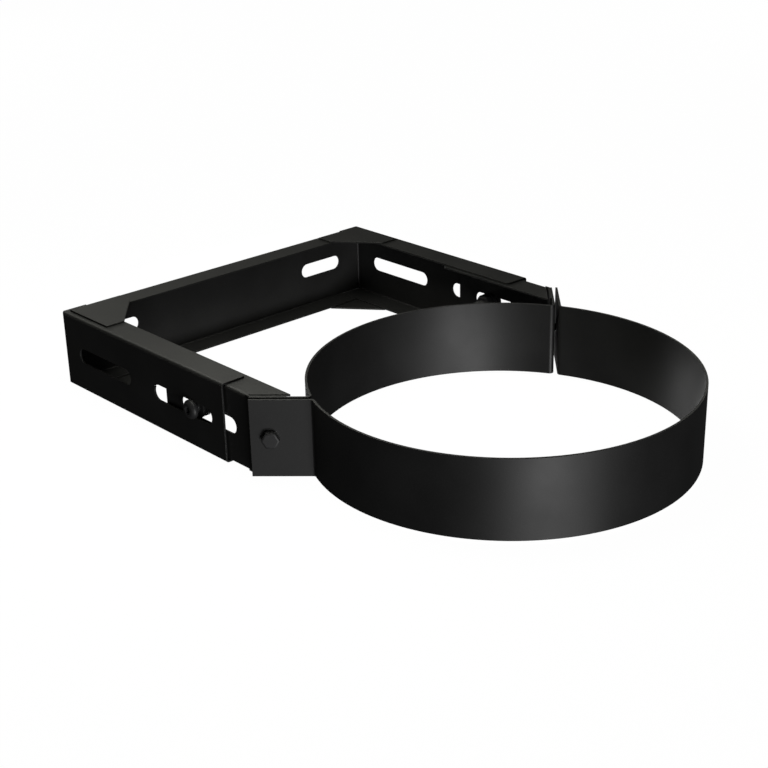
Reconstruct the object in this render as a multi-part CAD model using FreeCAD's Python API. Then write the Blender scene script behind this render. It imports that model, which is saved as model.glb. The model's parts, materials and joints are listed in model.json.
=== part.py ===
import FreeCAD, Part
import math
import os

# Wall bracket for a flue pipe, in millimetres.
# The wall is the plane y = 0 and the bracket reaches out from it along -y.
# x runs along the wall and z is up. The origin is on the wall, halfway between the two wall slots.
# Everything is drawn once for the left side, which is at -x, and mirrored for the right.

Vector = FreeCAD.Vector

# Pipe and clamping band
bore_diameter = 200.0
band_sheet = 1.2
band_recess = 0.05          # of the band's edges, below and above those of the extension arms
band_bend = 1.2             # inside radius where a band turns out into an ear
ear_slant = 45.0            # degrees between an ear and the wall's normal
front_ear_offset = 35.3     # from the pipe's axis to the outer face of a front ear
ear_length = 26.36          # how far an ear reaches beyond the bore's radius
ear_gap = 2.0               # what the clamp bolts still have to close

# Wall frame: three sides of a rectangle, folded from one strip with flanges above and below.
# Its width follows from the bore and the ears.
frame_depth = 150.0
frame_sheet = 1.0
frame_bend = 0.8            # inside radius of every fold
arm_flange = 16.0
wall_flange = 15.0
flange_end_radius = 3.0     # rounded inner corner at the open end of an arm's flange
seam = 0.3                  # slit between the arm flanges and the wall web at a corner

# Slots
slot_width = 9.0
wall_slot_length = 32.0
wall_slot_inset = 34.0      # from the frame's outer face to the middle of a wall slot
wall_slot_rise = 2.0        # above mid height
frame_slot_length = 51.0
rear_slot_margin = 15.6     # from the wall to the spare slot in an arm
front_slot_margin = 10.0    # from the open end of an arm to the slot that is in use

# Corner plates lying on the flanges
plate_sheet = 1.0
plate_inset = 3.6           # back from the frame's outer faces
plate_reach_wall = 37.0     # along the wall, from the frame's outer face
plate_reach_arm = 41.0      # along the arm, from the wall
plate_margin = 1.0          # short of the flanges' inner edges

# Extension arms, which slide inside the frame's arms
extension_sheet = 1.0
extension_bend = 0.8
extension_height = 41.7
extension_flange = 16.0
extension_overlap = 52.5    # how far it reaches into the frame's arm, as pictured
extension_length = 72.5     # from the rear end to the corner where the tab turns in
extension_slot_start = 13.5
extension_slot_length = 47.0
tab_length = 18.5
mitre_gap = 1.4             # between the back of the tab and the mitred ends of the flanges
height_clearance = 0.15     # above and below an extension arm
side_clearance = 0.8        # beside an extension arm

# Adjusting fasteners through the arms
adjuster_margin = 27.0      # from the open end of the frame's arm, as pictured
adjusting_thread = 6.0
adjusting_length = 16.0
button_diameter = 10.5
button_height = 3.3
button_rim = 0.7            # height of the head's cylindrical rim
button_shoulder = 9.2       # diameter halfway up the dome, which is drawn as two cones
button_flat = 6.4           # diameter of the flat on top
socket_width = 4.0
socket_depth = 2.1
adjusting_nut_width = 10.0
adjusting_nut_height = 5.0
adjusting_washer_diameter = 12.0
adjusting_washer_bore = 6.4
adjusting_washer_height = 1.6

# Clamp fasteners through the ears and the tab
clamp_from_corner = 10.3    # from the outer end of the ears to the bolt
clamp_hole = 5.5
clamp_thread = 5.0
clamp_length = 16.0
clamp_head_width = 8.0
clamp_head_height = 3.5
clamp_nut_height = 4.0
clamp_washer_diameter = 10.0
clamp_washer_bore = 5.3
clamp_washer_height = 1.0

thread_clearance = 0.1      # between a plain drawn thread and its nut, on the diameter
thread_chamfer = 0.6
hex_chamfer = 30.0          # degrees
hex_face_share = 0.95       # of a hexagon's width, left flat by the chamfer
cutter_reach = 5.0          # how far a cutter goes past the faces it cuts

# Worked out from the sizes above
frame_height = extension_height + 2 * (height_clearance + frame_sheet)
band_height = extension_height - 2 * band_recess
frame_fold = frame_bend + frame_sheet
extension_fold = extension_bend + extension_sheet
slant = math.radians(ear_slant)
outward = Vector(-math.sin(slant), math.cos(slant), 0)
wallward = Vector(math.cos(slant), math.sin(slant), 0)
front_ear_face = -front_ear_offset
tab_face = front_ear_face + 2 * band_sheet + ear_gap
ear_reach = bore_diameter / 2 + ear_length
clamp_reach = ear_reach - clamp_from_corner
extension_face = ear_reach * math.sin(slant) - tab_face * math.cos(slant)
extension_rear = extension_overlap - frame_depth
half_width = extension_face + side_clearance + frame_sheet
tab_corner = Vector(-extension_face, extension_rear - extension_length, 0)
pipe_axis = tab_corner - outward * ear_reach - wallward * tab_face
pipe_axis.x = 0


def on_ear(reach, offset):
    """Point beside the left ears: reach is along them from the pipe's axis, offset is towards the wall."""
    return pipe_axis + outward * reach + wallward * offset


def mirrored(item):
    """The same point or shape on the right side."""
    if isinstance(item, FreeCAD.Vector):
        return Vector(-item.x, item.y, item.z)
    return item.mirror(Vector(0, 0, 0), Vector(1, 0, 0))


def bent_path(points, radius):
    """Polyline whose corners are rounded to one radius."""
    edges = []
    start = points[0]
    for before, corner, after in zip(points, points[1:], points[2:]):
        back = (before - corner).normalize()
        ahead = (after - corner).normalize()
        half_angle = back.getAngle(ahead) / 2
        tangent = radius / math.tan(half_angle)
        centre = corner + (back + ahead).normalize() * (radius / math.sin(half_angle))
        middle = centre + (corner - centre).normalize() * radius
        end = corner + ahead * tangent
        edges.append(Part.LineSegment(start, corner + back * tangent).toShape())
        edges.append(Part.Arc(corner + back * tangent, middle, end).toShape())
        start = end
    edges.append(Part.LineSegment(start, points[-1]).toShape())
    return Part.Wire(edges)


def upright(face, height):
    """Solid of the given height standing on both sides of z = 0."""
    solid = face.extrude(Vector(0, 0, height))
    solid.translate(Vector(0, 0, -height / 2))
    return solid


def folded_strip(points, fold, sheet, height):
    """Standing strip of bent sheet, with its outer face along the points and its sheet to their right."""
    return upright(bent_path(points, fold).makeOffset2D(sheet, 0, True, True), height)


def channel(flange, height, sheet, fold, length):
    """Channel lying along -y from the origin, with its web on x = 0 and its flanges towards +x."""
    low = -height / 2
    high = height / 2
    corners = [Vector(flange, low), Vector(0, low), Vector(0, high), Vector(flange, high)]
    solid = bent_path(corners, fold).makeOffset2D(sheet, 0, True, True).extrude(Vector(0, 0, length))
    solid.rotate(Vector(0, 0, 0), Vector(1, 0, 0), 90)
    return solid


def box(low, high):
    """Box between two opposite corners."""
    size = high - low
    return Part.makeBox(size.x, size.y, size.z, low)


def turned(solid, direction, place):
    """Solid drawn along +z, turned to a level direction with its own y upright, and moved to a place."""
    sideways = Vector(0, 0, 1).cross(direction)
    rotation = FreeCAD.Rotation(sideways, Vector(0, 0, 1), direction, "ZXY")
    solid.Placement = FreeCAD.Placement(place, rotation)
    return solid


def slot_cutter(length, centre, along):
    """Round-ended cutter through a web. Its length runs along x or y."""
    radius = slot_width / 2
    straight = along * (length / 2 - radius)
    across = Vector(along.y, along.x, 0) * cutter_reach
    corner = straight + across + Vector(0, 0, radius)
    tool = box(centre - corner, centre + corner)
    for end in (centre - straight, centre + straight):
        tool = tool.fuse(Part.makeCylinder(radius, 2 * cutter_reach, end - across, across))
    return tool


def round_upright_edges(solid, places, radius):
    """Rounds the upright edges that stand at the given points of the plan."""
    edges = []
    for edge in solid.Edges:
        first = edge.Vertexes[0].Point
        last = edge.Vertexes[-1].Point
        if (first - Vector(last.x, last.y, first.z)).Length > 1e-4 or first.z == last.z:
            continue
        if any((Vector(first.x, first.y, 0) - place).Length < 1e-3 for place in places):
            edges.append(edge)
    return solid.makeFillet(radius, edges)


def frame_arm():
    """Left arm of the frame. At the corner its flanges lap over the wall web, which is lower there."""
    arm = channel(arm_flange, frame_height, frame_sheet, frame_fold, frame_depth)
    lapped = frame_height / 2 - frame_sheet - seam
    arm = arm.cut(box(Vector(0, -frame_fold, -lapped), Vector(arm_flange, 0, lapped)))
    arm = round_upright_edges(arm, [Vector(arm_flange, -frame_depth, 0)], flange_end_radius)
    arm.translate(Vector(-half_width, 0, 0))
    return arm


def wall_frame():
    """Frame folded from one strip: the wall web, two arms, and flanges that stop at a seam in each corner."""
    wall_length = 2 * (half_width - arm_flange - seam)
    wall_side = channel(wall_flange, frame_height, frame_sheet, frame_fold, wall_length)
    wall_side.rotate(Vector(0, 0, 0), Vector(0, 0, 1), -90)
    wall_side.translate(Vector(wall_length / 2, 0, 0))
    left_corner = Vector(-half_width, 0)
    left_end = Vector(-half_width, -frame_depth)
    plan = [left_end, left_corner, mirrored(left_corner), mirrored(left_end)]
    web = folded_strip(plan, frame_fold, frame_sheet, frame_height - 2 * (frame_sheet + seam))
    outline = bent_path(plan, frame_fold)
    closing = Part.LineSegment(plan[-1], plan[0]).toShape()
    envelope = upright(Part.Face(Part.Wire(outline.Edges + [closing])), frame_height)
    arm = frame_arm()
    frame = web.fuse([wall_side, arm, mirrored(arm)]).common(envelope)
    spare_slot = Vector(-half_width, -rear_slot_margin - frame_slot_length / 2, 0)
    front_slot = Vector(-half_width, front_slot_margin - frame_depth + frame_slot_length / 2, 0)
    wall_slot = Vector(wall_slot_inset - half_width, 0, wall_slot_rise)
    cutters = [
        slot_cutter(frame_slot_length, spare_slot, Vector(0, 1, 0)),
        slot_cutter(frame_slot_length, front_slot, Vector(0, 1, 0)),
        slot_cutter(wall_slot_length, wall_slot, Vector(1, 0, 0)),
    ]
    return frame.cut(cutters + [mirrored(cutter) for cutter in cutters]).removeSplitter()


def corner_plate():
    """Top left corner plate: square ends across both flanges and a slanted inner side."""
    left = -half_width
    outline = [
        Vector(left + plate_inset, -plate_inset, 0),
        Vector(left + plate_reach_wall, -plate_inset, 0),
        Vector(left + plate_reach_wall, -wall_flange + plate_margin, 0),
        Vector(left + arm_flange - plate_margin, -plate_reach_arm, 0),
        Vector(left + plate_inset, -plate_reach_arm, 0),
    ]
    plate = Part.Face(Part.makePolygon(outline + outline[:1])).extrude(Vector(0, 0, plate_sheet))
    plate.translate(Vector(0, 0, frame_height / 2))
    return plate


def extension_arm():
    """Left extension arm: a channel with a slot, mitred flanges and a tab that turns in behind the ears."""
    tab_end = on_ear(ear_reach - tab_length, tab_face)
    rear_end = Vector(-extension_face, extension_rear, 0)
    strip = folded_strip([tab_end, tab_corner, rear_end], extension_fold, extension_sheet, extension_height)
    body = channel(extension_flange, extension_height, extension_sheet, extension_fold, 2 * extension_length)
    body = round_upright_edges(body, [Vector(extension_flange, 0, 0)], flange_end_radius)
    body.translate(rear_end)
    mitre = tab_face + extension_sheet + mitre_gap
    span = 2 * extension_length
    front_half = box(Vector(-span, -span, -span), Vector(span, span, 0))
    front_half = turned(front_half, wallward, on_ear(ear_reach, mitre))
    arm = body.cut(front_half).fuse(strip.common(front_half))
    slot_middle = rear_end - Vector(0, extension_slot_start + extension_slot_length / 2, 0)
    arm = arm.cut([slot_cutter(extension_slot_length, slot_middle, Vector(0, 1, 0)), clamp_hole_cutter()])
    return arm.removeSplitter()


def clamp_hole_cutter():
    """Hole through the left ears and tab."""
    start = on_ear(clamp_reach, front_ear_face - cutter_reach)
    end = on_ear(clamp_reach, tab_face + extension_sheet + cutter_reach)
    return Part.makeCylinder(clamp_hole / 2, (end - start).Length, start, wallward)


def band(ear_face, side):
    """Band with two ears. side is 1 for the band between the pipe and the wall, and -1 for the front one."""
    outer = bore_diameter / 2 + band_sheet
    bend_offset = ear_face + side * band_bend
    bend_reach = math.sqrt((outer + band_bend) ** 2 - bend_offset ** 2)
    tip = on_ear(ear_reach, ear_face)
    bend_start = on_ear(bend_reach, ear_face)
    bend_centre = on_ear(bend_reach, bend_offset)
    bend_end = pipe_axis + (bend_centre - pipe_axis) * (outer / (outer + band_bend))
    towards_middle = (bend_start - bend_centre) + (bend_end - bend_centre)
    bend_middle = bend_centre + towards_middle.normalize() * band_bend
    crown = pipe_axis + Vector(0, side * outer, 0)
    path = Part.Wire([
        Part.LineSegment(tip, bend_start).toShape(),
        Part.Arc(bend_start, bend_middle, bend_end).toShape(),
        Part.Arc(bend_end, crown, mirrored(bend_end)).toShape(),
        Part.Arc(mirrored(bend_end), mirrored(bend_middle), mirrored(bend_start)).toShape(),
        Part.LineSegment(mirrored(bend_start), mirrored(tip)).toShape(),
    ])
    solid = upright(path.makeOffset2D(side * band_sheet, 0, True, True), band_height)
    hole = clamp_hole_cutter()
    return solid.cut([hole, mirrored(hole)])


def shank(diameter, length):
    """Plain threaded shank along +z from its head, with a chamfered end."""
    radius = diameter / 2
    body = Part.makeCylinder(radius, length - thread_chamfer)
    point = Part.makeCone(radius, radius - thread_chamfer, thread_chamfer)
    point.translate(Vector(0, 0, length - thread_chamfer))
    return body.fuse(point)


def hex_prism(width, height):
    """Six-sided prism standing on z = 0, measured across its flats, two of which face +y and -y."""
    radius = width / math.sqrt(3)
    angles = [math.radians(60 * k) for k in range(6)]
    corners = [Vector(radius * math.cos(angle), radius * math.sin(angle), 0) for angle in angles]
    return Part.Face(Part.makePolygon(corners + corners[:1])).extrude(Vector(0, 0, height))


def hex_crown(width, height):
    """Cone that takes the corners off the top of a hexagon of this width."""
    face = width * hex_face_share / 2
    return Part.makeCone(face + height / math.tan(math.radians(hex_chamfer)), face, height)


def hex_nut(width, height, thread):
    """Nut standing on z = 0, with its corners taken off on top."""
    nut = hex_prism(width, height).common(hex_crown(width, height))
    return nut.cut(Part.makeCylinder((thread + thread_clearance) / 2, height))


def washer(diameter, bore, height):
    """Flat washer standing on z = 0."""
    return Part.makeCylinder(diameter / 2, height).cut(Part.makeCylinder(bore / 2, height))


def button_bolt():
    """Round-headed bolt with a hexagon socket. Its head stands below z = 0 and its shank above."""
    profile = Part.makePolygon([
        Vector(0, 0, 0),
        Vector(button_diameter / 2, 0, 0),
        Vector(button_diameter / 2, 0, -button_rim),
        Vector(button_shoulder / 2, 0, -button_rim - (button_height - button_rim) / 2),
        Vector(button_flat / 2, 0, -button_height),
        Vector(0, 0, -button_height),
        Vector(0, 0, 0),
    ])
    head = Part.Face(profile).revolve(Vector(0, 0, 0), Vector(0, 0, 1), 360)
    socket = hex_prism(socket_width, socket_depth)
    socket.translate(Vector(0, 0, -button_height))
    return head.cut(socket).fuse(shank(adjusting_thread, adjusting_length)).removeSplitter()


def hex_bolt():
    """Hexagon-headed bolt. Its head stands below z = 0 and its shank above."""
    head = hex_prism(clamp_head_width, clamp_head_height)
    head = head.common(hex_crown(clamp_head_width, clamp_head_height))
    head.rotate(Vector(0, 0, 0), Vector(1, 0, 0), 180)
    return head.fuse(shank(clamp_thread, clamp_length)).removeSplitter()


def left_fasteners():
    """Bolts, washers and nuts of the left side, each seated on the sheet that it grips."""
    inward = Vector(1, 0, 0)
    adjuster = Vector(0, adjuster_margin - frame_depth, 0)
    head_seat = adjuster - inward * half_width
    washer_seat = adjuster - inward * (extension_face - extension_sheet)
    nut_seat = washer_seat + inward * adjusting_washer_height
    clamp_head_seat = on_ear(clamp_reach, front_ear_face)
    clamp_washer_seat = on_ear(clamp_reach, tab_face + extension_sheet)
    clamp_nut_seat = clamp_washer_seat + wallward * clamp_washer_height
    adjusting_washer = washer(adjusting_washer_diameter, adjusting_washer_bore, adjusting_washer_height)
    adjusting_nut = hex_nut(adjusting_nut_width, adjusting_nut_height, adjusting_thread)
    clamp_washer = washer(clamp_washer_diameter, clamp_washer_bore, clamp_washer_height)
    clamp_nut = hex_nut(clamp_head_width, clamp_nut_height, clamp_thread)
    return {
        "adjusting_bolt": turned(button_bolt(), inward, head_seat),
        "adjusting_washer": turned(adjusting_washer, inward, washer_seat),
        "adjusting_nut": turned(adjusting_nut, inward, nut_seat),
        "clamp_bolt": turned(hex_bolt(), wallward, clamp_head_seat),
        "clamp_washer": turned(clamp_washer, wallward, clamp_washer_seat),
        "clamp_nut": turned(clamp_nut, wallward, clamp_nut_seat),
    }


def build():
    """Every piece by its name."""
    parts = {"wall_frame": wall_frame()}
    plate = corner_plate()
    lower_plate = plate.mirror(Vector(0, 0, 0), Vector(0, 0, 1))
    parts["corner_plate_top_left"] = plate
    parts["corner_plate_top_right"] = mirrored(plate)
    parts["corner_plate_bottom_left"] = lower_plate
    parts["corner_plate_bottom_right"] = mirrored(lower_plate)
    parts["rear_band"] = band(tab_face, 1)
    parts["front_band"] = band(front_ear_face, -1)
    paired = {"extension_arm": extension_arm()}
    paired.update(left_fasteners())
    for name, shape in paired.items():
        parts[name + "_left"] = shape
        parts[name + "_right"] = mirrored(shape)
    return parts


os.makedirs("parts", exist_ok=True)
for name, shape in build().items():
    shape.exportStep("parts/" + name + ".step")
    print(name, "valid", shape.isValid(), "solids", len(shape.Solids), "volume", round(shape.Volume, 1))
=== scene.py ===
# %% [markdown]
# # A wall bracket for a flue pipe
#
# The bracket is folded from black powder-coated sheet: a flanged frame on the wall, two slotted arms that
# slide in and out of it, and a round band for the pipe. Its shape comes ready made as a fixed model, one
# node for each sheet and each fastener. In this notebook the sheets get their paint, the bolts, nuts and
# washers are modelled again with the detail that a close look shows, and a small studio is set up round it.

# %% Load the fixed model
import json
import math

import bpy
from mathutils import Matrix, Vector

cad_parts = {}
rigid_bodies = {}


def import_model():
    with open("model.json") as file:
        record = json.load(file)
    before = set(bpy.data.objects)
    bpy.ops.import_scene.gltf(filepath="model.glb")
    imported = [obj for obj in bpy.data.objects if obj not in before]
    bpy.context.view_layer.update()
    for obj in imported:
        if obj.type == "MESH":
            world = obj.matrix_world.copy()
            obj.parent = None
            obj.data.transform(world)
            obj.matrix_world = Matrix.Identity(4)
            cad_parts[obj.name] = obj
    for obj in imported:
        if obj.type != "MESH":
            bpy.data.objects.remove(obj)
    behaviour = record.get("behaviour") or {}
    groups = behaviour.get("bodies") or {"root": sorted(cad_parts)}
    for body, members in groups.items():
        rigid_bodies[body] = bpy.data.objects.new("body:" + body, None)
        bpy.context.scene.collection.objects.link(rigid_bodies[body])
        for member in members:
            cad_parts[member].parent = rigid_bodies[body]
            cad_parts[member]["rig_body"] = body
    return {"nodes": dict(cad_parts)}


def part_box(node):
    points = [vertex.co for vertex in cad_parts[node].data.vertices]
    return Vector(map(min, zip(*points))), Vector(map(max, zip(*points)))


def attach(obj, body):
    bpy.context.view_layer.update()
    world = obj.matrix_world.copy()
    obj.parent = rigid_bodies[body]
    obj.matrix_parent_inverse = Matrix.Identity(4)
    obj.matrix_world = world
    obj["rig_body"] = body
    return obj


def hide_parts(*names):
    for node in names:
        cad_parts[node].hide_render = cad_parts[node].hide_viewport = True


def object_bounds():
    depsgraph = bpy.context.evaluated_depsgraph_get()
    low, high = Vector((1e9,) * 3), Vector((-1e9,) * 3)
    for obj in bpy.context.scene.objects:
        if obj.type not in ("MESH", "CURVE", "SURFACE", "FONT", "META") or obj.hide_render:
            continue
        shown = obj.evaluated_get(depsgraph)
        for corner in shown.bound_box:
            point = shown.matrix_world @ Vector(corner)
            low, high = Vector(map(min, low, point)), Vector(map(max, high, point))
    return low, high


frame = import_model()
nodes = frame["nodes"]
fixed_low, fixed_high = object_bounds()
mm = 0.001
print("nodes:", len(nodes))
print("size in mm:", [round(side / mm, 1) for side in fixed_high - fixed_low])

# %% [markdown]
# ## Small tools
#
# Blender's operators act on whatever is selected, so each step starts from a clean selection. The helpers
# below keep that in one place: one deselects, one takes an object in hand, one picks faces or edges in
# edit mode, one applies a modifier at once, as the Apply button would, one cuts a mesh with another and
# throws the cutter away, and one rounds sharp edges.

# %% Selection, modifiers and cutting


def deselect():
    """Leaves nothing selected, so that the next primitive stands alone."""
    bpy.ops.object.select_all(action="DESELECT")


def take(obj):
    """Selects one object and makes it the active one."""
    deselect()
    obj.select_set(True)
    bpy.context.view_layer.objects.active = obj
    return obj


def pick(obj, kind, wanted):
    """Goes into edit mode with only the wanted faces or edges selected."""
    take(obj)
    bpy.ops.object.mode_set(mode="EDIT")
    bpy.ops.mesh.select_mode(type=kind)
    bpy.ops.mesh.select_all(action="DESELECT")
    bpy.ops.object.mode_set(mode="OBJECT")
    for element in obj.data.polygons if kind == "FACE" else obj.data.edges:
        element.select = wanted(element)
    bpy.ops.object.mode_set(mode="EDIT")


def apply_modifier(obj, kind, **settings):
    """Adds a modifier, sets it and applies it."""
    modifier = obj.modifiers.new(kind.title(), kind)
    for key, value in settings.items():
        setattr(modifier, key, value)
    take(obj)
    bpy.ops.object.modifier_apply(modifier=modifier.name)
    return obj


def carve(obj, tool, operation):
    """Cuts, keeps or joins the space of another mesh, which is then deleted."""
    apply_modifier(obj, "BOOLEAN", operation=operation, object=tool, solver="EXACT")
    bpy.data.objects.remove(tool)
    return obj


def round_edges(obj, width, segments=2, angle=25):
    """Rounds every edge that is sharper than the angle."""
    return apply_modifier(
        obj, "BEVEL", width=width, segments=segments, limit_method="ANGLE", angle_limit=math.radians(angle)
    )


print("helpers ready")

# %% [markdown]
# ## The shapes that every fastener is made of
#
# A turned part starts as a cylinder or a cone on the z axis, and a hexagon as a cylinder with six sides.
# The corners of a real bolt head or nut are turned off in a lathe, so the hexagon is kept only where a wide
# flat cone covers it. That leaves the curved lines on its flats that make a hexagon look machined.

# %% Turned blanks and hexagons
round_sides = 64
flats_upright = math.radians(30)
corner_slope = math.radians(30)
nearly_upright = 0.9


def cylinder(radius, low, high, sides=round_sides):
    """Cylinder on the z axis between two heights."""
    deselect()
    bpy.ops.mesh.primitive_cylinder_add(
        vertices=sides, radius=radius, depth=high - low, location=(0, 0, (low + high) / 2)
    )
    bpy.ops.object.transform_apply()
    return bpy.context.active_object


def cone(low_radius, high_radius, low, high):
    """Cut-off cone on the z axis between two heights."""
    deselect()
    bpy.ops.mesh.primitive_cone_add(
        vertices=round_sides, radius1=low_radius, radius2=high_radius, depth=high - low,
        location=(0, 0, (low + high) / 2),
    )
    bpy.ops.object.transform_apply()
    return bpy.context.active_object


def hexagon(width, low, high):
    """Six-sided prism, measured across its flats, two of which face +y and -y."""
    prism = cylinder(width / math.sqrt(3), low, high, sides=6)
    prism.data.transform(Matrix.Rotation(flats_upright, 4, "Z"))
    return prism


def turn_off_corners(prism, width, low, high, below, above, share=0.95):
    """Takes the corners off a hexagon below, above or at both ends. A share of 1 just reaches its flats."""
    face = width / 2 * share
    spread = (high - low) / math.tan(corner_slope)
    if above:
        carve(prism, cone(face + spread, face, low, high), "INTERSECT")
    if below:
        carve(prism, cone(face, face + spread, low, high), "INTERSECT")
    return prism


def faces_up(face):
    """True for the face that closes a blank at its upper end."""
    return face.normal.z > nearly_upright


def faces_down(face):
    """True for the face that closes a blank at its lower end."""
    return face.normal.z < -nearly_upright


print("blanks ready")

# %% [markdown]
# ## A screw thread
#
# A thread could be faked with a bump, but its profile shows against the light at the bolt's end. So one
# ridge is drawn as a short line beside the axis, and the Screw modifier winds it up round the shank. Its
# open ends are cut square, a little inside the first and the last full turn. The whole is then moved down by
# more than a turn, so that it sticks out of a plain blank at both ends. That blank, with a bevelled tip,
# gives the thread its length and lead-in.
#
# A thread's sizes follow from its pitch, so the ridge's are shares of it: how deep it is, where it starts to
# rise, and where its narrow crest starts and ends.

# %% One ridge of a thread
thread_depth = 0.61
rise_start = 0.05
crest_start = 0.45
crest_end = 0.6


def ridge_line(crest, pitch):
    """One turn's profile as a line of points beside the axis."""
    root = crest - thread_depth * pitch
    profile = [(root, 0.0), (root, rise_start), (crest, crest_start), (crest, crest_end), (root, 1.0)]
    deselect()
    bpy.ops.mesh.primitive_circle_add(vertices=len(profile))
    ridge = bpy.context.active_object
    for vertex, (radius, share) in zip(ridge.data.vertices, profile):
        vertex.co = (radius, 0, share * pitch)
    pick(ridge, "EDGE", lambda edge: set(edge.vertices) == {0, len(profile) - 1})
    bpy.ops.mesh.delete(type="EDGE")
    bpy.ops.object.mode_set(mode="OBJECT")
    return ridge


print("a ridge is", thread_depth, "of its pitch deep")

# %% Winding a thread
thread_sides = 36
spare_turns = 3
end_cut = 0.03
turns_before_start = 1.6
over_crest = 1.001
embedded = 0.4 * mm


def wind(ridge, pitch, turns):
    """Winds the ridge up into a closed screw with square ends."""
    same_point = pitch / 1000
    same_plane = pitch / 100000
    apply_modifier(
        ridge, "SCREW", angle=math.tau, screw_offset=pitch, iterations=turns, steps=thread_sides,
        render_steps=thread_sides, use_merge_vertices=True, merge_threshold=same_point,
    )
    bpy.ops.object.mode_set(mode="EDIT")
    bpy.ops.mesh.select_all(action="SELECT")
    bpy.ops.mesh.remove_doubles(threshold=same_point)
    for height, side in (((1 + end_cut) * pitch, -1), ((turns - end_cut) * pitch, 1)):
        bpy.ops.mesh.select_all(action="SELECT")
        bpy.ops.mesh.bisect(
            plane_co=(0, 0, height), plane_no=(0, 0, side), use_fill=True, clear_outer=True,
            threshold=same_plane,
        )
    bpy.ops.mesh.select_all(action="SELECT")
    bpy.ops.mesh.normals_make_consistent(inside=False)
    bpy.ops.object.mode_set(mode="OBJECT")
    return ridge


def thread(diameter, pitch, length, tip):
    """Threaded shank that starts just inside the head and ends at the given length."""
    crest = diameter / 2
    screw = wind(ridge_line(crest, pitch), pitch, math.ceil(length / pitch) + spare_turns)
    screw.data.transform(Matrix.Translation((0, 0, -turns_before_start * pitch - embedded)))
    blank = cylinder(crest * over_crest, -embedded, length)
    pick(blank, "FACE", faces_up)
    bpy.ops.mesh.bevel(offset=tip, segments=1, affect="EDGES")
    bpy.ops.object.mode_set(mode="OBJECT")
    return carve(screw, blank, "INTERSECT")


def add_thread(head, shank):
    """Joins the shank to its head as one piece."""
    take(shank)
    head.select_set(True)
    bpy.context.view_layer.objects.active = head
    bpy.ops.object.join()
    return head


print("thread ready")

# %% [markdown]
# ## The four kinds of fastener
#
# Each kind is modelled once on the z axis, with its seat at z = 0. A bolt has its head below the seat and
# its shank above. The face of the hexagon head falls off a little towards its rim, which shows there as a
# bright line: it is inset once with a small step out for the slope, and once more to keep the middle flat.
# The button head is a cylinder whose rim is bevelled to a shallow dome round a flat face, and a hexagon
# socket with a drilled bottom is cut into it. The nuts get a countersink at each end of the bore.

# %% Hexagon head
soft_edge = 0.12 * mm
rim_width = 0.75 * mm
rim_fall = 0.15 * mm
flat_margin = 0.08 * mm
washer_face = 0.3 * mm
washer_face_share = 0.46
washer_face_overlap = 1.5


def hexagon_bolt(width, height, diameter, pitch, length, tip):
    """Hexagon head with a washer face, and its thread."""
    head = hexagon(width, rim_fall - height, -washer_face)
    pick(head, "FACE", faces_down)
    bpy.ops.mesh.inset(thickness=rim_width, depth=rim_fall)
    bpy.ops.mesh.inset(thickness=flat_margin)
    bpy.ops.object.mode_set(mode="OBJECT")
    turn_off_corners(head, width, -height, -washer_face, below=True, above=False, share=1.0)
    carve(head, cylinder(width * washer_face_share, -washer_face * washer_face_overlap, 0), "UNION")
    round_edges(head, soft_edge)
    return add_thread(head, thread(diameter, pitch, length, tip))


print("rim in mm:", round(rim_width / mm, 2), "wide and", round(rim_fall / mm, 2), "deep")

# %% Button head
dome_steps = 8
dome_profile = 0.36
past_face = 1.2
drill_share = 0.48
drill_tip = 0.05 * mm
drill_start = 0.9
drill_end = 1.3


def button_bolt(width, height, face_width, socket, socket_depth, diameter, pitch, length, tip):
    """Low domed head with a flat face and a hexagon socket, and its thread."""
    head = cylinder(width / 2, -height, 0)
    pick(head, "FACE", faces_down)
    bpy.ops.mesh.bevel(
        offset=(width - face_width) / 2, segments=dome_steps, profile=dome_profile, affect="EDGES"
    )
    bpy.ops.object.mode_set(mode="OBJECT")
    carve(head, hexagon(socket, -height * past_face, -height + socket_depth), "DIFFERENCE")
    drill_low = -height + socket_depth * drill_start
    drill_high = -height + socket_depth * drill_end
    carve(head, cone(socket * drill_share, drill_tip, drill_low, drill_high), "DIFFERENCE")
    round_edges(head, soft_edge, angle=35)
    return add_thread(head, thread(diameter, pitch, length, tip))


print("dome steps:", dome_steps)

# %% Nuts and washers
beyond = 1 * mm
thread_clearance = 0.03 * mm
sink = 0.45 * mm
washer_edge = 0.15 * mm


def hexagon_nut(width, height, diameter):
    """Nut with its corners turned off at both ends and a countersunk bore."""
    nut = hexagon(width, 0, height)
    turn_off_corners(nut, width, 0, height, below=True, above=True)
    bore = diameter / 2 + thread_clearance
    carve(nut, cylinder(bore, -beyond, height + beyond), "DIFFERENCE")
    carve(nut, cone(bore + 2 * sink, bore, -sink, sink), "DIFFERENCE")
    carve(nut, cone(bore, bore + 2 * sink, height - sink, height + sink), "DIFFERENCE")
    return round_edges(nut, soft_edge)


def flat_washer(width, bore, height):
    """Punched ring with soft edges."""
    ring = cylinder(width / 2, 0, height)
    carve(ring, cylinder(bore / 2, -beyond, height + beyond), "DIFFERENCE")
    return round_edges(ring, washer_edge, segments=3)


print("countersink in mm:", round(sink / mm, 2))

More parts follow.
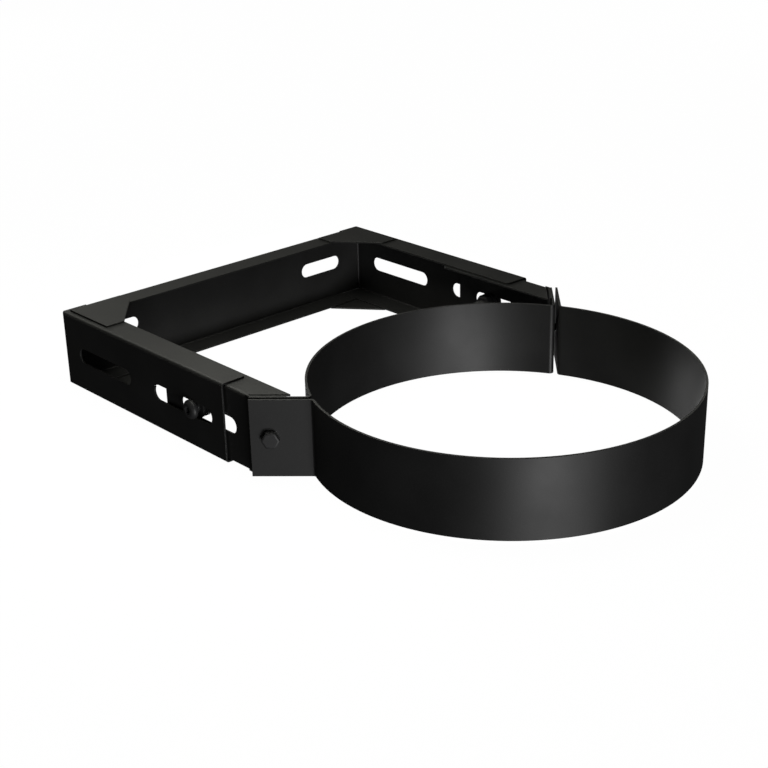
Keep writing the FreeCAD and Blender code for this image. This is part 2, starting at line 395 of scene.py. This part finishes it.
# %% One of each kind
clamp_head = 3.5 * mm
adjusting_head = 3.3 * mm
patterns = {
    "clamp_bolt": hexagon_bolt(
        width=8 * mm, height=clamp_head, diameter=5 * mm, pitch=0.8 * mm, length=16 * mm, tip=0.6 * mm
    ),
    "clamp_washer": flat_washer(width=10 * mm, bore=5.3 * mm, height=1 * mm),
    "clamp_nut": hexagon_nut(width=8 * mm, height=4 * mm, diameter=5 * mm),
    "adjusting_bolt": button_bolt(
        width=10.5 * mm, height=adjusting_head, face_width=6.8 * mm, socket=4 * mm, socket_depth=2.1 * mm,
        diameter=6 * mm, pitch=1 * mm, length=16 * mm, tip=0.7 * mm,
    ),
    "adjusting_washer": flat_washer(width=12 * mm, bore=6.4 * mm, height=1.6 * mm),
    "adjusting_nut": hexagon_nut(width=10 * mm, height=5 * mm, diameter=6 * mm),
}
for name, pattern in patterns.items():
    print(name, "faces:", len(pattern.data.polygons))

# %% [markdown]
# ## Putting the fasteners in place
#
# The adjusting bolts go straight in through the arms, and the clamp bolts point to the wall at 45 degrees,
# square to the ears. The plain fasteners of the fixed model say where: the axis goes through the middle of
# such a fastener, and its near end is the seat. A bolt's seat is further in, by the height of its head. The
# adjusting washers and nuts stand a hair further in too, so that no two faces that slide past each other
# lie in one plane.

# %% Seats and directions
sliding_gap = 0.02 * mm
clamp_insets = {"clamp_bolt": clamp_head, "clamp_washer": 0, "clamp_nut": 0}
adjusting_insets = {
    "adjusting_bolt": adjusting_head, "adjusting_washer": sliding_gap, "adjusting_nut": sliding_gap
}


def seat_of(node, direction, inset):
    """Where the plain fastener starts on its axis, moved along the direction by the inset."""
    low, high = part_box(node)
    centre = (low + high) / 2
    start = min(vertex.co.dot(direction) for vertex in nodes[node].data.vertices)
    return centre + direction * (start + inset - centre.dot(direction))


places = []
for side_name, side in (("left", -1), ("right", 1)):
    to_wall = Vector((-side, 1, 0)).normalized()
    inward = Vector((-side, 0, 0))
    for insets, direction in ((clamp_insets, to_wall), (adjusting_insets, inward)):
        for kind, inset in insets.items():
            node = kind + "_" + side_name
            places.append((kind, node, seat_of(node, direction, inset), direction))
for kind, node, seat, direction in places:
    print(node, "seat in mm:", [round(value / mm, 2) for value in seat])

# %% [markdown]
# Every copy is turned, not mirrored, because a mirrored thread would be left-handed. Each copy gets its own
# mesh, with its place in the mesh, and stands for the plain fastener of the model.

# %% Placing the copies
smooth_angle = math.radians(30)


def place(pattern, name, seat, direction):
    """Copies a pattern to its seat, with its y axis upright and its z axis along the direction."""
    sideways = Vector((0, 0, 1)).cross(direction)
    turn = Matrix((sideways, Vector((0, 0, 1)), direction)).transposed().to_4x4()
    piece = bpy.data.objects.new(name, pattern.data.copy())
    piece.data.transform(Matrix.Translation(seat) @ turn)
    bpy.context.scene.collection.objects.link(piece)
    return piece


fasteners = {}
for kind, node, seat, direction in places:
    piece = place(patterns[kind], node + "_detailed", seat, direction)
    take(piece)
    bpy.ops.object.shade_smooth_by_angle(angle=smooth_angle)
    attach(piece, nodes[node]["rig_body"])
    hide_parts(node)
    fasteners[node] = piece
for pattern in patterns.values():
    bpy.data.objects.remove(pattern)
print("fasteners placed:", len(fasteners))

# %% [markdown]
# ## Shared surface effects
#
# Powder paint is sprayed on dry and melts in an oven. It flows together with a faint orange peel, draws
# back a little from sharp edges, where it is thin and wears, and holds fine dust in flat places. The edges
# are painted lighter, partly for that wear and partly as a painted highlight. The first two are wanted on
# more than one material, so each is a node group with named inputs and outputs, built once. The groups hand
# out colours, masks and normals only; the shader stays in the material.

# %% Node group helpers


def new_group(name, inputs, outputs):
    """Empty shader node group with the given sockets."""
    group = bpy.data.node_groups.new(name, "ShaderNodeTree")
    for label, kind, value in inputs:
        socket = group.interface.new_socket(label, in_out="INPUT", socket_type=kind)
        if value is not None:
            socket.default_value = value
    for label, kind in outputs:
        group.interface.new_socket(label, in_out="OUTPUT", socket_type=kind)
    return group


def add_node(tree, kind, **settings):
    """Adds a node and sets its properties."""
    node = tree.nodes.new(kind)
    for key, value in settings.items():
        setattr(node, key, value)
    return node


def noise(tree, vector, scale, detail=2.0):
    """Noise texture on a vector. The scale counts blobs per metre."""
    node = add_node(tree, "ShaderNodeTexNoise")
    node.inputs["Scale"].default_value = scale
    node.inputs["Detail"].default_value = detail
    tree.links.new(vector, node.inputs["Vector"])
    return node.outputs["Fac"]


def remap(tree, value, low, high, new_low, new_high):
    """Stretches a range of values to another one and clamps it."""
    node = add_node(tree, "ShaderNodeMapRange")
    tree.links.new(value, node.inputs["Value"])
    for socket, number in (("From Min", low), ("From Max", high), ("To Min", new_low), ("To Max", new_high)):
        if isinstance(number, (int, float)):
            node.inputs[socket].default_value = number
        else:
            tree.links.new(number, node.inputs[socket])
    return node.outputs["Result"]


def math_node(tree, operation, first, second):
    """Arithmetic on two values, each a socket or a number."""
    node = add_node(tree, "ShaderNodeMath", operation=operation)
    for index, value in enumerate((first, second)):
        if isinstance(value, (int, float)):
            node.inputs[index].default_value = value
        else:
            tree.links.new(value, node.inputs[index])
    return node.outputs["Value"]


def mix_colour(tree, share, first, second):
    """Mixes two colours by a share."""
    node = add_node(tree, "ShaderNodeMix", data_type="RGBA")
    for name, value in (("Factor", share), ("A", first), ("B", second)):
        socket = next(s for s in node.inputs if s.name == name and s.enabled)
        if hasattr(value, "is_output"):
            tree.links.new(value, socket)
        else:
            socket.default_value = value
    return next(s for s in node.outputs if s.enabled)


print("node helpers ready")

# %% [markdown]
# The edge group looks a fraction of a millimetre round each point. Where the rounded normal leaves the real
# one, there is an edge. It gives that as a mask, and hands the rounded normal on, so that the folded sheet
# has no knife edges.

# %% Soft edge group
bevel_samples = 6
soft_edges = new_group(
    "soft_edges",
    [("Radius", "NodeSocketFloat", 0.3 * mm), ("Reach", "NodeSocketFloat", 0.25)],
    [("Mask", "NodeSocketFloat"), ("Normal", "NodeSocketVector")],
)
inside = add_node(soft_edges, "NodeGroupInput").outputs
outside = add_node(soft_edges, "NodeGroupOutput").inputs
rounded = add_node(soft_edges, "ShaderNodeBevel", samples=bevel_samples)
soft_edges.links.new(inside["Radius"], rounded.inputs["Radius"])
true_normal = add_node(soft_edges, "ShaderNodeNewGeometry").outputs["Normal"]
agreement = add_node(soft_edges, "ShaderNodeVectorMath", operation="DOT_PRODUCT")
soft_edges.links.new(rounded.outputs["Normal"], agreement.inputs[0])
soft_edges.links.new(true_normal, agreement.inputs[1])
away = math_node(soft_edges, "SUBTRACT", 1.0, agreement.outputs["Value"])
soft_edges.links.new(remap(soft_edges, away, 0.0, inside["Reach"], 0.0, 1.0), outside["Mask"])
soft_edges.links.new(rounded.outputs["Normal"], outside["Normal"])
print("group:", soft_edges.name)

# %% [markdown]
# The orange peel group has two sizes of ripple: the shallow waves of the melted paint, about a millimetre
# apart, and a much finer grain. It also has a slow cloud over some centimetres, by which a material can vary
# its colour and gloss, because no coat is even, and small flecks for dust. A noise's scale counts its blobs
# per metre, and a fleck is where the finest noise rises above a threshold.

# %% Orange peel group
wave_scale = 1100.0
grain_scale = 5200.0
cloud_scale = 28.0
cloud_detail = 3.0
fleck_scale = 2600.0
fleck_starts = 0.68
fleck_full = 0.78
orange_peel = new_group(
    "orange_peel",
    [
        ("Vector", "NodeSocketVector", None),
        ("Normal", "NodeSocketVector", None),
        ("Waves", "NodeSocketFloat", 0.35),
        ("Grain", "NodeSocketFloat", 0.2),
        ("Depth", "NodeSocketFloat", 0.03 * mm),
    ],
    [("Cloud", "NodeSocketFloat"), ("Fleck", "NodeSocketFloat"), ("Normal", "NodeSocketVector")],
)
inside = add_node(orange_peel, "NodeGroupInput").outputs
outside = add_node(orange_peel, "NodeGroupOutput").inputs
waves = math_node(
    orange_peel, "MULTIPLY", noise(orange_peel, inside["Vector"], wave_scale), inside["Waves"]
)
grain = math_node(
    orange_peel, "MULTIPLY", noise(orange_peel, inside["Vector"], grain_scale), inside["Grain"]
)
bump = add_node(orange_peel, "ShaderNodeBump")
bump.inputs["Strength"].default_value = 1.0
orange_peel.links.new(math_node(orange_peel, "ADD", waves, grain), bump.inputs["Height"])
orange_peel.links.new(inside["Depth"], bump.inputs["Distance"])
orange_peel.links.new(inside["Normal"], bump.inputs["Normal"])
orange_peel.links.new(noise(orange_peel, inside["Vector"], cloud_scale, cloud_detail), outside["Cloud"])
speck = noise(orange_peel, inside["Vector"], fleck_scale, detail=0.0)
orange_peel.links.new(remap(orange_peel, speck, fleck_starts, fleck_full, 0.0, 1.0), outside["Fleck"])
orange_peel.links.new(bump.outputs["Normal"], outside["Normal"])
print("group:", orange_peel.name)

# %% [markdown]
# ## The finishes
#
# There are three: the paint on the frame and the arms, the paint on the bands, which is rolled strip and a
# little smoother, and the black coat of the fasteners. All are nearly black and satin. What tells them apart
# is their surface: the sheets have orange peel, and the fasteners have only a fine grain, a slightly lighter
# tone and brighter edges, partly from wear and partly a painted highlight. Each goes from a darker to a
# lighter tone over some centimetres.

# %% Making a finish
cloud_range = (0.35, 0.65)
gloss_range = (0.3, 0.7)
roughness_swing = 0.04
fleck_strength = 0.25
wear_and_highlight_strength = 0.6


def finish_material(name, dark, light, edge, roughness, metal, specular, waves, grain, radius):
    """Coated surface with cloudy colour, orange peel, and edges painted lighter for wear and as a highlight.
    """
    material = bpy.data.materials.new(name)
    material.use_nodes = True
    tree = material.node_tree
    shader = tree.nodes["Principled BSDF"]
    place_in_object = add_node(tree, "ShaderNodeTexCoord").outputs["Object"]
    edges = add_node(tree, "ShaderNodeGroup", node_tree=soft_edges)
    edges.inputs["Radius"].default_value = radius
    peel = add_node(tree, "ShaderNodeGroup", node_tree=orange_peel)
    peel.inputs["Waves"].default_value = waves
    peel.inputs["Grain"].default_value = grain
    tree.links.new(place_in_object, peel.inputs["Vector"])
    tree.links.new(edges.outputs["Normal"], peel.inputs["Normal"])
    cloudy = mix_colour(tree, remap(tree, peel.outputs["Cloud"], *cloud_range, 0.0, 1.0), dark, light)
    flecks = math_node(tree, "MULTIPLY", peel.outputs["Fleck"], fleck_strength)
    flecked = mix_colour(tree, flecks, cloudy, edge)
    # Edges painted lighter: partly wear, partly a painted highlight.
    edge_wear_and_highlight = math_node(tree, "MULTIPLY", edges.outputs["Mask"], wear_and_highlight_strength)
    tree.links.new(mix_colour(tree, edge_wear_and_highlight, flecked, edge), shader.inputs["Base Color"])
    smoothest = roughness - roughness_swing
    roughest = roughness + roughness_swing
    uneven = remap(tree, peel.outputs["Cloud"], *gloss_range, smoothest, roughest)
    tree.links.new(uneven, shader.inputs["Roughness"])
    tree.links.new(peel.outputs["Normal"], shader.inputs["Normal"])
    shader.inputs["Metallic"].default_value = metal
    shader.inputs["Specular IOR Level"].default_value = specular
    return material


print("finish recipe ready")

# %% Three finishes
# The edge colour tints the dust flecks and the edges. On the edges it is partly wear and partly a painted
# highlight.
sheet_paint = finish_material(
    "powder_coat_sheet", dark=(0.010, 0.010, 0.0097, 1), light=(0.014, 0.014, 0.0135, 1),
    edge=(0.05, 0.05, 0.05, 1), roughness=0.5, metal=0.0, specular=0.5, waves=0.35, grain=0.2,
    radius=0.3 * mm,
)
band_paint = finish_material(
    "powder_coat_band", dark=(0.011, 0.011, 0.011, 1), light=(0.014, 0.014, 0.014, 1),
    edge=(0.05, 0.05, 0.05, 1), roughness=0.5, metal=0.0, specular=0.5, waves=0.25, grain=0.15,
    radius=0.3 * mm,
)
plated_steel = finish_material(
    "black_plated_steel", dark=(0.016, 0.016, 0.017, 1), light=(0.024, 0.024, 0.025, 1),
    edge=(0.10, 0.10, 0.10, 1), roughness=0.5, metal=0.0, specular=0.48, waves=0.0, grain=0.12,
    radius=0.12 * mm,
)
for name, node in nodes.items():
    node.data.materials.clear()
    node.data.materials.append(band_paint if name.endswith("_band") else sheet_paint)
for piece in fasteners.values():
    piece.data.materials.clear()
    piece.data.materials.append(plated_steel)
print("finishes:", sheet_paint.name, band_paint.name, plated_steel.name)

# %% [markdown]
# ## The floor
#
# The photograph has a plain white ground with no reflection in the black paint, as if the bracket stood on
# a glass table with a white sheet far below. So the floor is solid for the camera alone, and only from
# above. The camera sees a pale sheet that keeps a trace of the shadow, and all other light passes through
# it. A lit white floor would throw so much light up that the sides of the arms would turn grey.

# %% Pale floor
floor_size = 12
white_strength = 1.02
white_share = 0.97
deselect()
bpy.ops.mesh.primitive_plane_add(size=floor_size, location=(0, 0, fixed_low.z))
floor = bpy.context.active_object
floor.name = "floor"
floor_finish = bpy.data.materials.new("pale_floor")
floor_finish.use_nodes = True
tree = floor_finish.node_tree
pale = tree.nodes["Principled BSDF"]
pale.inputs["Base Color"].default_value = (0.8, 0.8, 0.8, 1)
pale.inputs["Roughness"].default_value = 0.9
pale.inputs["Specular IOR Level"].default_value = 0.0
white = add_node(tree, "ShaderNodeEmission")
white.inputs["Strength"].default_value = white_strength
sheet = add_node(tree, "ShaderNodeMixShader")
sheet.inputs["Fac"].default_value = white_share
tree.links.new(pale.outputs["BSDF"], sheet.inputs[1])
tree.links.new(white.outputs["Emission"], sheet.inputs[2])
print("floor height in mm:", round(fixed_low.z / mm, 2))

# %% Seen by the camera, from above
glass = add_node(tree, "ShaderNodeBsdfTransparent")
shown = add_node(tree, "ShaderNodeMixShader")
is_camera = add_node(tree, "ShaderNodeLightPath").outputs["Is Camera Ray"]
from_below = add_node(tree, "ShaderNodeNewGeometry").outputs["Backfacing"]
from_above = math_node(tree, "SUBTRACT", 1.0, from_below)
tree.links.new(math_node(tree, "MULTIPLY", is_camera, from_above), shown.inputs["Fac"])
tree.links.new(glass.outputs["BSDF"], shown.inputs[1])
tree.links.new(sheet.outputs["Shader"], shown.inputs[2])
tree.links.new(shown.outputs["Shader"], tree.nodes["Material Output"].inputs["Surface"])
floor.data.materials.append(floor_finish)
print("floor material:", floor_finish.name)

# %% [markdown]
# ## Light
#
# The bright upright streaks on the band, inside and outside alike, tell where the main light is. The camera
# looks down on those walls, so they mirror something in front that stands lower than the bracket: a soft
# box below the glass table, a little to the right of the camera. Two small lamps hang close above the left
# arm, because its flange is much brighter than the right one, and they are a touch warm, as the tops are in
# the photograph. Weak soft boxes behind give the tops their grazing sheen. A small lamp below the table,
# close behind the wall, makes the last streak, at the right end inside the band. From further away it
# would light the band's left end too. A low one behind on the right lights the sides that the photograph
# doesn't show. It stands so steeply below that the upright edges in the photograph's view don't mirror it.
#
# Each lamp is given by the direction it stands in, in degrees, its power in watts, its distance and its two
# sides in metres. Azimuth 0 is in front of the wall, and positive azimuths turn to the bracket's right.

# %% Where a lamp stands
middle = Vector((0, -0.17, 0))
above_left_arm = Vector((-0.02, -0.12, 0))
left_arm = Vector((-0.11, -0.12, 0))
band_right_end = Vector((0.086, -0.289, 0))
neutral = (1, 1, 1)
warm = (1, 1, 0.92)


def direction_from(azimuth, elevation):
    """Unit vector from the object. Azimuth 0 is towards -y and positive ones turn towards +x, in degrees."""
    turn = math.radians(azimuth)
    lift = math.radians(elevation)
    return Vector((math.sin(turn) * math.cos(lift), -math.cos(turn) * math.cos(lift), math.sin(lift)))


def soft_box(name, azimuth, elevation, power, distance=1.5, size=(0.5, 0.5), aim=middle, colour=neutral):
    """Rectangular lamp that faces a point of the object."""
    data = bpy.data.lights.new(name, "AREA")
    data.shape = "RECTANGLE"
    data.size, data.size_y = size
    data.energy = power
    data.color = colour
    lamp = bpy.data.objects.new(name, data)
    back = direction_from(azimuth, elevation)
    lamp.location = aim + back * distance
    lamp.rotation_euler = back.to_track_quat("Z", "Y").to_euler()
    bpy.context.scene.collection.objects.link(lamp)
    return lamp


print("lamps face", [round(value / mm) for value in middle], "mm unless told otherwise")

# %% The lamps
soft_box("front_low_box", -21.5, -18, 176, distance=6, size=(2.3, 2.8))
soft_box("front_high_box", -18, 55, 0.8)
soft_box("near_top_lamp", -63, 79, 0.78, distance=0.36, size=(0.16, 0.16), aim=above_left_arm, colour=warm)
soft_box("near_back_lamp", 150, 60, 0.23, distance=0.3, size=(0.16, 0.16), aim=left_arm, colour=warm)
soft_box("back_high_box", 172, 15, 1.8, colour=warm)
soft_box("corner_high_box", 149, 15, 0.14, colour=warm)
soft_box("side_high_box", 110, 15, 1.2, colour=warm)
soft_box("near_low_lamp", 177, -18, 0.185, distance=0.42, size=(0.14, 0.28), aim=band_right_end)
soft_box("side_low_box", 138, -42, 14, size=(0.3, 0.5))
print("lamps:", [light.name for light in bpy.data.lights])

# %% [markdown]
# The world is white to the camera, like the photograph's background, and gives everything else only a very
# weak fill, so that no shadow is quite black.

# %% World
fill_strength = 0.02
world = bpy.data.worlds.new("world")
bpy.context.scene.world = world
world.use_nodes = True
tree = world.node_tree
fill = tree.nodes["Background"]
fill.inputs["Color"].default_value = (1, 1, 1, 1)
fill.inputs["Strength"].default_value = fill_strength
seen = add_node(tree, "ShaderNodeBackground")
seen.inputs["Color"].default_value = (1, 1, 1, 1)
rays = add_node(tree, "ShaderNodeLightPath").outputs
blend = add_node(tree, "ShaderNodeMixShader")
tree.links.new(rays["Is Camera Ray"], blend.inputs["Fac"])
tree.links.new(fill.outputs["Background"], blend.inputs[1])
tree.links.new(seen.outputs["Background"], blend.inputs[2])
tree.links.new(blend.outputs["Shader"], tree.nodes["World Output"].inputs["Surface"])
print("fill light:", fill_strength)

# %% [markdown]
# ## Camera
#
# The camera stands in front of the bracket's left side, a little above it. Its place was worked out from
# the corners of the frame and the outline of the band in the photograph: the direction it stands in, its
# roll, its distance, and how far it is shifted to the right and up, in its own directions, without turning.
# The focal length was found in pixels, and the sensor's width turns it into millimetres.

# %% Camera
camera_turn = -42.29
camera_lift = 23.13
camera_roll = math.radians(-1.31)
camera_distance = 845.9 * mm
camera_aim = Vector((0, -111.34, 0)) * mm
aim_right = 24.2 * mm
aim_up = -22.15 * mm
focal_pixels = 1484.7
picture_pixels = 768
sensor_width = 36.0
back = direction_from(camera_turn, camera_lift)
level = Vector((math.cos(math.radians(camera_turn)), math.sin(math.radians(camera_turn)), 0))
upward = back.cross(level)
right = level * math.cos(camera_roll) + upward * math.sin(camera_roll)
up = upward * math.cos(camera_roll) - level * math.sin(camera_roll)
camera_data = bpy.data.cameras.new("camera")
camera_data.sensor_width = sensor_width
camera_data.lens = sensor_width * focal_pixels / picture_pixels
camera_data.clip_start = 0.05
camera_data.clip_end = 50
camera = bpy.data.objects.new("camera", camera_data)
stand = camera_aim + right * aim_right + up * aim_up + back * camera_distance
camera.matrix_world = Matrix.Translation(stand) @ Matrix((right, up, back)).transposed().to_4x4()
bpy.context.scene.collection.objects.link(camera)
bpy.context.scene.camera = camera
bpy.context.scene.view_settings.view_transform = "Standard"
print("lens in mm:", round(camera_data.lens, 2))
